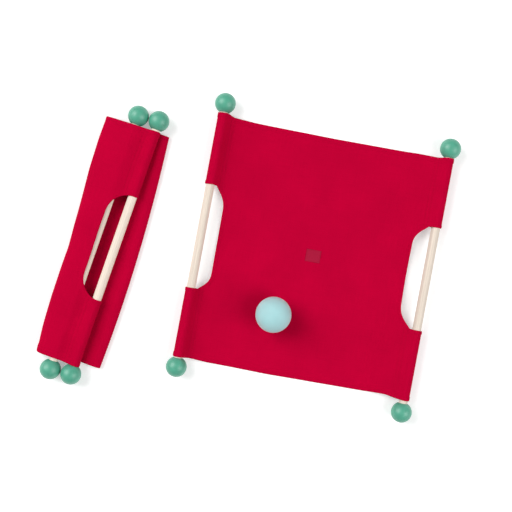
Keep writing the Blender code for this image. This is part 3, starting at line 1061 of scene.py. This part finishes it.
# Over what length the bends of an edge are smoothed
EDGE_WIDTH = 0.006
# How far the sheet's two open edges stand out of line, in millimetres, from the left dowel to the right one
FAR_EDGE = smooth_line(
    np.array((-193, -184, -174, -140, 0, 140, 176, 186, 193)) / 1000,
    np.array((4.2, 5.2, 1.4, -0.2, -1.4, -0.7, -2.9, -1.2, -0.7)) / 1000,
    EDGE_WIDTH,
)
NEAR_EDGE = smooth_line(
    np.array((-193, -170, -146, -38, 124, 161, 178, 193)) / 1000,
    np.array((-1.8, -1.4, 0.4, 1.9, -0.6, -3.0, -0.2, 0.8)) / 1000,
    EDGE_WIDTH,
)


def spread_ends(side):
    """How far one half's open edges stand out of line at x, its distance from the dowel."""

    def ends(x, y):
        across = np.clip(side * (HALF_SPACING - x), -HALF_SPACING, HALF_SPACING)
        return np.where(y > 0, np.interp(across, *FAR_EDGE), np.interp(across, *NEAR_EDGE))

    return ends


def spread_place(side):
    """Sets one half in the world: the left one as it is, and the right one mirrored."""

    def to_world(points):
        return points * (-side, 1, 1) + (side * HALF_SPACING, 0, 0)

    return to_world


# %% Cut, wrap and sew the spread sheet
SPREAD_HEM = 0.0007
BEND_WIDTH = 0.02
SPREAD_CLOTHS = {}
# Each half's bends and how far they sway, then its grip's depth, tilt, and far and near inner corners
for side_name, side, bends, sway, grip, tilt, corners in (
    ("left", -1, LEFT_BENDS, 0.0012, 0.0287, 0.0086, (0.037, 0.029)),
    ("right", 1, RIGHT_BENDS, 0.0050, 0.0328, -0.0065, (0.033, 0.037)),
):
    sections = spread_sections(bends, 1.3 * side, sway)
    wrap = Wrap(sections, spread_place(side), side > 0, spread_lift(side), spread_ends(side))
    edge = grip_edge(wrap, grip, tilt=tilt, corners=corners)
    cut = (wrap, edge, SPREAD_HEM)
    cloth = cloth_object(f"spread_{side_name}_cloth", *cut)
    rows = hem_rows(*cut) + grip_rows(*cut) + seam_rows(*cut)
    stitches = sew(f"spread_{side_name}_stitches", rows, seed=11 + side)
    joint = JOINTS[f"spread_{side_name}_fold"]
    start = Vector(joint["pos_m"])
    end = start + Vector((side * BEND_WIDTH, 0, 0))
    for thing in (cloth, stitches):
        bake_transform(thing)
    SPREAD_CLOTHS[side_name] = cloth
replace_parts(SPREAD_CLOTHS["left"], "spread_sheet_left_flap", "spread_sheet_middle")
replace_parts(SPREAD_CLOTHS["right"], "spread_sheet_right_flap", "spread_sheet_middle")
print("spread sheet:", [cloth.name for cloth in SPREAD_CLOTHS.values()])

# %% [markdown]
# ## The folded sheet
# The second sheet is folded in half and in half again, so that its two dowels lie side by side. The
# top layer comes round the left fold, goes over the lower dowel, sags a little and wraps the upper
# dowel. Two layers lie on the floor and show as a strip on the right. A hidden layer with a pleat
# carries the lower dowel. Folding one mesh would stretch it at every crease, so each layer has its own
# cross-section, drawn as a maker would sketch the stack from its end, and all are cut from the same
# length of cloth as the spread sheet.

# %% Where the folded sheet's dowels lie
# Its cross-sections are mirrored, so that the sheet runs to +x from the upper dowel
FOLDED_AT = Vector(JOINTS["folded_upper_dowel_turn"]["pos_m"])
FOLDED_AXIS = Vector(JOINTS["folded_upper_dowel_turn"]["axis"])
FOLDED_ACROSS = FOLDED_AXIS.cross(Vector((0, 0, 1)))
LOWER_JOINT = Vector(JOINTS["folded_lower_dowel_turn"]["pos_m"])
LOWER_AT = np.array(((FOLDED_AT - LOWER_JOINT).dot(FOLDED_ACROSS), BALL_RADIUS))
UPPER_AT = np.array((0.0, BALL_RADIUS))


def folded_place(points):
    """Sets a layer in the world, along the upper dowel."""
    across, along = np.array(FOLDED_ACROSS), np.array(FOLDED_AXIS)
    flat = np.array((FOLDED_AT.x, FOLDED_AT.y, 0)) - points[:, :1] * across + points[:, 1:2] * along
    return flat + points[:, 2:] * (0, 0, 1)


print("folded dowels", round(1000 * LOWER_AT[0], 1), "mm apart")

# %% The folded sheet's two folds
FOLD_RADIUS = 3 * PITCH
FOLD_REACH = 0.080
FOLD_LEAN = 0.007
STRIP_REACH, STRIP_LEAN, STRIP_BOW = 0.0407, 0.009, 0.0076
# How far the left fold wanders out of line, in millimetres, from its near end to its far end
FOLD_LINE = smooth_line(
    np.array((-1, -0.8, -0.55, -0.27, -0.12, 0.28, 0.55, 0.82, 1)),
    np.array((-3.2, -0.2, 0.4, -0.9, -2.6, 0.7, 3.4, 3.3, 1.2)) / 1000,
    0.06,
)


def fold_centre(y):
    """The middle of the left fold's round; the fold leans a little to the dowels."""
    reach = FOLD_REACH + FOLD_LEAN * y / SHEET_HALF + np.interp(y / SHEET_HALF, *FOLD_LINE)
    return np.array((reach - CLOTH / 2 - FOLD_RADIUS, FLOOR_LAYER + FOLD_RADIUS))


def strip_edge(y):
    """How far the soft right fold reaches; it bows out in the middle."""
    share = y / SHEET_HALF
    return STRIP_REACH - STRIP_LEAN * share - STRIP_BOW * share**2


print("left fold", round(1000 * FOLD_REACH), "mm from the upper dowel")

# %% Cross-section of the top layer
OVER_LOWER = CASING + PITCH
UPPER_SOFT = 0.0028
DIP_DEPTH, DIP_WANDER = 0.0034, 0.0004
# The angle at which a full slope leaves the lower dowel's round, and that at which it meets the fold's
FULL_CREST, FULL_TOE = math.radians(92), math.radians(8)


def softened(points, reach, steps=900):
    """A path with its corners rubbed down over a reach; its ends stay."""
    fine = even_steps(points, steps)
    count = int(reach / (path_length(points) / (steps - 1)))
    window = np.hanning(2 * count + 1)
    before = np.linspace(2 * fine[0] - fine[count], fine[0], count, endpoint=False)
    after = np.linspace(2 * fine[-1] - fine[-1 - count], fine[-1], count, endpoint=False)
    padded = np.concatenate([before, fine, after[::-1]])
    return np.stack([np.convolve(padded[:, i], window / window.sum(), "valid") for i in (0, 1)], 1)


def puff(y):
    """How full the slope beside the left fold is: nearly straight at the far end, round elsewhere."""
    return np.interp(y / SHEET_HALF, (-1, -0.4, 0.1, 0.75, 1), (0.9, 1.0, 1.1, 0.3, 0.15))


def upper_sections(y):
    """From the upper dowel, over the lower one and down, round the left fold to the floor."""
    meets = math.pi - math.acos((OVER_LOWER - CASING) / LOWER_AT[0])
    centre = fold_centre(y)
    apart = centre - LOWER_AT
    taut = math.atan2(apart[1], apart[0]) + math.acos((OVER_LOWER - FOLD_RADIUS) / np.hypot(*apart))
    crest = taut + puff(y) * (FULL_CREST - taut)
    toe = taut + puff(y) * (FULL_TOE - taut)
    hump = arc(LOWER_AT, OVER_LOWER, meets, crest, 30)
    fold = arc(centre, FOLD_RADIUS, toe, -math.pi / 2, 30)
    leaves = np.array((math.sin(crest), -math.cos(crest))) * (0.015 + 0.016 * puff(y))
    arrives = np.array((math.sin(toe), -math.cos(toe))) * (0.012 + 0.007 * puff(y))
    t = np.linspace(0, 1, 40)[:, None]
    slope = hump[-1] * (1 - t) ** 3 + (hump[-1] + leaves) * 3 * t * (1 - t) ** 2
    slope += (fold[0] - arrives) * 3 * t**2 * (1 - t) + fold[0] * t**3
    touch = on_round(UPPER_AT, CASING, meets)
    dip = touch * (1 - t) + hump[0] * t
    lowest = np.interp(y / SHEET_HALF, (-1, 1), (1.15, 0.63))
    dip[:, 1] -= (DIP_DEPTH + DIP_WANDER * wander(y, 4.0)) * np.sin(math.pi * t[:, 0] ** lowest) ** 2
    rests = UPPER_AT[1] + np.sqrt(np.clip(CASING**2 - dip[:, 0] ** 2, 0, None))
    dip[:, 1] = np.maximum(dip[:, 1], rests)
    run = softened(np.concatenate([dip[:-1], hump[:-1], slope[:-1], fold]), UPPER_SOFT)
    return run, casing(UPPER_AT, meets, run)


# %% Cross-sections of the layers below
LAYER_2 = FLOOR_LAYER + PITCH
STRIP_ROUND = np.array((0.013, 0.0052))
UNDER_DOWEL = np.array((0.0, 0.0068))
UNDER_SOFT = 0.004
# The pleat's turns: level in half pitches, shift along the floor, and whether the turn bulges to the fold
PLEAT = ((5, 0.002, True), (3, -0.0065, False), (1, 0.0, True))


def under_sections(y):
    """The two layers on the floor, from the left fold to the full, soft right fold and back."""
    left = fold_centre(y)[0] - 0.0003
    right = np.array((-(strip_edge(y) - CLOTH / 2), FLOOR_LAYER)) + STRIP_ROUND
    floor_run = np.array([(left, FLOOR_LAYER), (right[0], FLOOR_LAYER)])
    fold = right + STRIP_ROUND * arc((0, 0), 1, 3 * math.pi / 2, math.pi / 2, 30)
    settled = [UNDER_DOWEL, (LOWER_AT[0], LAYER_2), (left - 0.0012, LAYER_2)]
    return floor_run[::-1], softened(np.concatenate([fold, settled]), UNDER_SOFT)


def inner_sections(y):
    """From the lower dowel down to the left fold, where a pleat takes up the spare cloth."""
    radius = PITCH / 2
    left = fold_centre(y)[0] - radius
    turns = []
    for level, shift, outward in PLEAT:
        last = -math.pi / 2 if outward else 3 * math.pi / 2
        turns.append(arc((left + shift, LAYER_2 + level * radius), radius, math.pi / 2, last, 12))
    meets = tangent_angle(LOWER_AT, CASING, turns[0][0], 1)
    touch = on_round(LOWER_AT, CASING, meets)
    run = np.concatenate([[touch]] + turns)
    return run, casing(LOWER_AT, meets, run)


# %% Wrap the three layers
FOLDED_GRIP = 0.0345
UPPER_GRIP, UPPER_GRIP_HALF = 0.0340, 0.0914
# How far from the end of the left fold a hem is pressed flat, and over what length it comes up again
FLAT_START, FLAT_OVER = 0.005, 0.006


class FoldedWrap(Wrap):
    """A wrap whose grip is measured from a dowel that need not be over x = 0."""

    dowel_x = 0.0

    def hem_share(self, s):
        """A hem is pressed flat where the cloth turns under at the left fold."""
        return ramp(self.s_high - s, FLAT_START, FLAT_OVER)

    def length_at(self, distance):
        return super().length_at(distance + self.dowel_x)


def upper_ends(x, y):
    """The top layer reaches a little further at its casing, and its near corner at the fold is round."""
    at_casing = 1 - ramp(x, 0, 0.03)
    rounded = ramp(x, 0.0655, 0.0045) ** 2
    return np.where(y > 0, 0.0014 * at_casing - 0.0012, 0.0006 + 0.0022 * at_casing - 0.0045 * rounded)


def even_ends(far, near):
    """Open edges that are straight, each a fixed distance out of line."""
    return lambda x, y: np.where(y > 0, far, near)


upper_wrap = FoldedWrap(upper_sections, folded_place, True, ends=upper_ends)
under_wrap = FoldedWrap(under_sections, folded_place, True, ends=even_ends(-0.0006, -0.0050))
inner_wrap = FoldedWrap(inner_sections, folded_place, True, ends=even_ends(-0.0010, -0.0012))
inner_wrap.dowel_x = LOWER_AT[0]
upper_edge = grip_edge(upper_wrap, UPPER_GRIP, half=UPPER_GRIP_HALF, kink=0)
inner_edge = grip_edge(inner_wrap, FOLDED_GRIP)
LAYER_LENGTHS = [wrap.s_high - wrap.s_low for wrap in (upper_wrap, under_wrap, inner_wrap)]
print("folded sheet, flat:", round(1000 * sum(LAYER_LENGTHS), 1), "mm")

# %% Cut and sew the folded sheet
FOLDED_HEM = 0.0003
OPEN_STEP, HIDDEN_STEP = 0.0013, 0.0006


def close_columns(wrap, step):
    """Even, close columns for a layer that bends all along its run."""
    return np.linspace(wrap.s_low, wrap.s_high, int((wrap.s_high - wrap.s_low) / step))


upper = (upper_wrap, upper_edge, SPREAD_HEM)
under = (under_wrap, None, FOLDED_HEM)
inner = (inner_wrap, inner_edge, FOLDED_HEM)
upper_cloth = cloth_object("folded_upper_cloth", *upper, close_columns(upper_wrap, OPEN_STEP))
under_cloth = cloth_object("folded_under_cloth", *under, close_columns(under_wrap, OPEN_STEP))
inner_cloth = cloth_object("folded_inner_cloth", *inner, close_columns(inner_wrap, HIDDEN_STEP))
upper_rows = hem_rows(*upper) + grip_rows(*upper) + seam_rows(*upper)
upper_stitches = sew("folded_upper_stitches", upper_rows, seed=21)
under_stitches = sew("folded_under_stitches", hem_rows(*under, faces=(True,)), seed=22)
inner_stitches = sew("folded_inner_stitches", grip_rows(*inner, faces=(False,)), seed=23)

# %% Set the top layer in the world, and let the layers below move with the folded sheet
unfold = Vector(JOINTS["folded_upper_unfold"]["pos_m"])
from_fold = Vector((0, 0, 1)).cross(Vector(JOINTS["folded_upper_unfold"]["axis"]))
for thing in (upper_cloth, upper_stitches):
    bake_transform(thing)
for thing in (under_cloth, under_stitches, inner_cloth, inner_stitches):
    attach(thing, "folded_sheet")
for cloth, stitches, wrap, below in (
    (upper_cloth, upper_stitches, upper_wrap, ["folded_lower_dowel", "folded_upper_dowel"]),
    (under_cloth, under_stitches, under_wrap, ["floor"]),
    (inner_cloth, inner_stitches, inner_wrap, ["folded_lower_dowel", "folded_under_cloth"]),
):
    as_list(below)
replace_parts(upper_cloth, "folded_sheet_upper_flap")
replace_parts(under_cloth, "folded_sheet_under_layers")
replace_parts(inner_cloth, "folded_sheet_inner_layers")
print("folded sheet:", upper_cloth.name, under_cloth.name, inner_cloth.name)

# %% [markdown]
# ## The sewn patch
# A small blank piece of woven tape is sewn to the middle of the sheet. A coloured rectangle in the
# canvas's material would do from far off, but real tape stands up from the cloth and casts a thin
# shadow. Its edges are turned under, so it is thickest just inside its rim, and a row of stitches
# pulls it down all round. A grid of points with a height for each gives that shape.

# %% Shape of the patch
PATCH_LOW, PATCH_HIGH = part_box("sewn_patch")
PATCH_AT = (PATCH_LOW + PATCH_HIGH) / 2
PATCH_SIZE = PATCH_HIGH - PATCH_LOW
PATCH_STITCH = 0.0018
PATCH_ROLL = 0.0012
STITCH_DIP = 0.00028
MIDDLE_DIP, MIDDLE_START = 0.00010, 0.003


def patch_object():
    """A thin pillow: a grid of top points, the same grid flat below, and a rim."""
    across = np.linspace(-PATCH_SIZE.x / 2, PATCH_SIZE.x / 2, 61)
    along = np.linspace(-PATCH_SIZE.y / 2, PATCH_SIZE.y / 2, 51)
    x, y = np.meshgrid(across, along, indexing="ij")
    edge = np.minimum(PATCH_SIZE.x / 2 - np.abs(x), PATCH_SIZE.y / 2 - np.abs(y))
    full = PATCH_SIZE.z * (0.45 + 0.55 * np.sqrt(ramp(edge, 0, PATCH_ROLL)))
    full -= STITCH_DIP * np.exp(-(((edge - PATCH_STITCH) / STITCH_WIDTH) ** 2))
    full -= MIDDLE_DIP * ramp(edge, MIDDLE_START, MIDDLE_START)
    top = np.stack([x + PATCH_AT.x, y + PATCH_AT.y, PATCH_LOW.z + full], -1).reshape(-1, 3)
    base = top.copy()
    base[:, 2] = PATCH_LOW.z
    rows, columns = x.shape
    grid = np.arange(rows * columns).reshape(rows, columns)
    quads = np.stack([grid[:-1, :-1], grid[1:, :-1], grid[1:, 1:], grid[:-1, 1:]], -1).reshape(-1, 4)
    count = len(top)
    loop = np.concatenate([grid[:-1, 0], grid[-1, :-1], grid[:0:-1, -1], grid[0, :0:-1]])
    after = np.roll(loop, -1)
    rim = np.stack([loop, loop + count, after + count, after], 1)
    faces = quads.tolist() + (quads[:, ::-1] + count).tolist() + rim.tolist()
    thing = mesh_object("patch", np.concatenate([top, base]), faces, PATCH_CLOTH, smooth=70)
    vector_attribute(thing, "flat_place", np.concatenate([top, base]) * (1, 1, 0))
    return thing


# %% Make the patch and sew it on


def patch_row():
    """The row of stitches all round, and the outward direction at its corners."""
    half_x, half_y = PATCH_SIZE.x / 2 - PATCH_STITCH, PATCH_SIZE.y / 2 - PATCH_STITCH
    corners = [(half_x, half_y), (-half_x, half_y), (-half_x, -half_y), (half_x, -half_y), (half_x, half_y)]
    height = PATCH_HIGH.z - 0.00022
    points = np.array([(PATCH_AT.x + x, PATCH_AT.y + y, height) for x, y in corners])
    return points, np.tile((0.0, 0.0, 1.0), (5, 1))


patch = patch_object()
patch_stitches = sew("patch_stitches", [patch_row()], seed=31, Pitch=0.0021, Length=0.0016, Thickness=0.0004)
for thing in (patch, patch_stitches):
    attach(thing, "spread_sheet")
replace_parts(patch, "sewn_patch")
print("patch", [round(1000 * length, 1) for length in PATCH_SIZE], "mm")

# %% [markdown]
# ## Dowels and end balls
# The dowels are plain pale hardwood, sanded and left bare. The balls are turned from the same wood,
# bored to take the dowel's end, painted a soft green and glued on once the dowel is in its casings.
# A cylinder and a sphere could be joined, but then the bore and the softened edges would need cutting.
# Both are lathe shapes, so one helper spins a profile round an axis, as a lathe does. The grain runs
# along the dowel, and is a noise that is stretched that way.

# %% Wood
WOOD = (0.86, 0.75, 0.64)
# Lengths of wood differ a little in shade, and the folded sheet's pair is the lighter one. The tones
# are partly painted light: they lighten the lower folded dowel in the shade of the top layer, and
# darken the right spread dowel on its brightly lit side.
DOWEL_TONES_AND_PAINTED_LIGHT = {"spread_left": 1.0, "spread_right": 0.96, "folded_upper": 1.07, "folded_lower": 1.07}


def wood_material(name, colour):
    """Bare wood: fine fibres and broad bands, both drawn out along the dowel."""
    material = new_material(name, 0.6, specular=0.25)
    tree = material.node_tree
    place = place_attribute(tree, "grain_place")
    fibre = add_group(tree, GRAIN, place, Stretch=(900, 9, 900), Detail=4.0, Roughness=0.6)["Grain"]
    band = add_group(tree, GRAIN, place, Stretch=(160, 2.2, 160), Detail=2.0, Roughness=0.5)["Grain"]
    tone = maths(tree, "ADD", maths(tree, "MULTIPLY", fibre, 0.5), maths(tree, "MULTIPLY", band, 0.5))
    tint(material, tone, colour, (0.82, 1.08), (0.34, 0.62))
    bump(material, fibre, 0.25, 0.0002)
    return material


# Each dowel gets its own wood, whose tone is partly painted light
WOODS = {name: wood_material(f"{name}_wood", scaled(WOOD, shade)) for name, shade in DOWEL_TONES_AND_PAINTED_LIGHT.items()}
print("woods:", list(WOODS))

# %% Paint
PAINT = (0.083, 0.396, 0.268)


def paint_material():
    """Satin paint, thin enough for a trace of the grain to show."""
    material = new_material("green_paint", 0.42, specular=0.75)
    tree = material.node_tree
    place = place_attribute(tree, "grain_place")
    grain = add_group(tree, GRAIN, place, Stretch=(700, 120, 700), Detail=3.0, Roughness=0.5)["Grain"]
    coats = noise(tree, place, 120.0, 2.0)
    tone = maths(tree, "ADD", maths(tree, "MULTIPLY", grain, 0.35), maths(tree, "MULTIPLY", coats, 0.65))
    tint(material, tone, PAINT, (0.93, 1.07), (0.35, 0.65))
    bump(material, tone, 0.08, 0.0004)
    return material


GREEN_PAINT = paint_material()
print("paint:", GREEN_PAINT.name)

# %% Spin profiles round an axis


def turned_object(name, profile, centre, axis, material, segments=64):
    """Spin (radius, along) points round an axis. A radius of zero closes the shape at that end."""
    axis = Vector(axis).normalized()
    side = Vector((0, 0, 1))
    other = axis.cross(side)
    frame_of = np.array((side, axis, other))
    angles = np.linspace(0, math.tau, segments, endpoint=False)
    points, rings = [], []
    for radius, along in profile:
        if radius == 0:
            rings.append([len(points)] * segments)
            points.append((0, along, 0))
        else:
            rings.append(list(range(len(points), len(points) + segments)))
            points += [(radius * math.cos(a), along, radius * math.sin(a)) for a in angles]
    faces = []
    for ring, following in zip(rings, rings[1:]):
        for i in range(segments):
            j = (i + 1) % segments
            corners = [ring[i], ring[j], following[j], following[i]]
            faces.append(tuple(dict.fromkeys(corners)))
    local = np.array(points)
    thing = mesh_object(name, local @ frame_of + np.array(centre), faces, material, smooth=40)
    vector_attribute(thing, "grain_place", local + np.array(centre))
    return thing


# %% Profiles of a dowel and an end ball
CHAMFER = 0.001
GLUE_GAP = 0.0003
SOCKET_DEPTH = 0.020


def dowel_profile(half):
    """A plain rod with a small chamfer at each end."""
    small = DOWEL_RADIUS - CHAMFER
    body = [(DOWEL_RADIUS, y) for y in np.linspace(-half + CHAMFER, half - CHAMFER, 60)]
    return [(0, -half), (small, -half)] + body + [(small, half), (0, half)]


def ball_profile(end):
    """A ball with a blind socket for the dowel, its mouth softly rounded."""
    bore = DOWEL_RADIUS + GLUE_GAP
    mouth = math.asin((bore + 0.0006) / BALL_RADIUS)
    turns = np.linspace(0, math.pi - mouth, 40)
    outside = [(BALL_RADIUS * math.sin(a), BALL_RADIUS * math.cos(a)) for a in turns]
    outside[0] = (0, BALL_RADIUS)
    lip = -BALL_RADIUS * math.cos(mouth)
    bottom = SOCKET_DEPTH - BALL_RADIUS
    inside_bore = [(bore + 0.0002, lip + 0.0001), (bore, lip + 0.0006), (bore, bottom), (0, bottom)]
    profile = [(radius, end * along) for radius, along in outside + inside_bore]
    return profile if end < 0 else profile[::-1]


# %% Turn the dowels and balls
BALL_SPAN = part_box("spread_left_ball_far")[1].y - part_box("spread_left_ball_near")[0].y - 2 * BALL_RADIUS
DOWEL_HALF = size_of("spread_left_dowel").y / 2
for name, wood in WOODS.items():
    low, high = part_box(f"{name}_dowel")
    centre = (low + high) / 2
    axis = Vector(JOINTS[f"{name}_dowel_turn"]["axis"]).normalized()
    dowel = turned_object(f"{name}_rod", dowel_profile(DOWEL_HALF), centre, axis, wood, 48)
    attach(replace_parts(dowel, f"{name}_dowel"), f"{name}_dowel")
    for place, end in (("far", 1), ("near", -1)):
        at = centre + axis * end * BALL_SPAN / 2
        ball = turned_object(f"{name}_end_{place}", ball_profile(end), at, axis, GREEN_PAINT)
        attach(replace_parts(ball, f"{name}_ball_{place}"), f"{name}_dowel")
print("ball span", round(BALL_SPAN * 1000, 1), "mm")

# %% [markdown]
# ## The toss ball
# The ball is soft matt rubber. Light goes a little way into it and comes out again beside, which fills
# its shaded side, so the material scatters light under its skin; a plain matt colour would look like
# chalk. The skin has fine pores and a faint unevenness, which keep its highlight broad and dull. It is
# spun with the same helper as the other balls.

# %% Rubber
RUBBER = (0.392, 0.660, 0.680)
LIGHT_REACH = 0.035


def rubber_material():
    """Rubber that light goes into, a little cloudy and with fine pores."""
    inside_light = {"subsurface_weight": 1.0, "subsurface_scale": LIGHT_REACH}
    material = new_material("aqua_rubber", 0.6, sheen_weight=0.3, sheen_roughness=0.5, **inside_light)
    shader_of(material).inputs["Subsurface Radius"].default_value = (1, 1, 1)
    tree = material.node_tree
    place = place_attribute(tree, "grain_place")
    pores = noise(tree, place, 900.0, 3.0)
    cloud = noise(tree, place, 45.0, 2.0)
    tint(material, cloud, RUBBER, (0.97, 1.03), (0.35, 0.65))
    bump(material, pores, 0.12, 0.0003)
    return material


AQUA_RUBBER = rubber_material()
print("rubber:", AQUA_RUBBER.name)

# %% Make the ball
TOSS_RADIUS = (BALL_HIGH.z - BALL_LOW.z) / 2
turns = np.linspace(0, math.pi, 65)
ball_line = [(TOSS_RADIUS * math.sin(a), -TOSS_RADIUS * math.cos(a)) for a in turns]
ball_line[0], ball_line[-1] = (0, -TOSS_RADIUS), (0, TOSS_RADIUS)
SPIN_AXIS = (0.3, 0.9, 0.0)
ball = turned_object("ball", ball_line, BALL_AT, SPIN_AXIS, AQUA_RUBBER, 96)
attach(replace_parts(ball, "toss_ball"), "toss_ball")
print("ball", round(TOSS_RADIUS * 2000, 1), "mm")
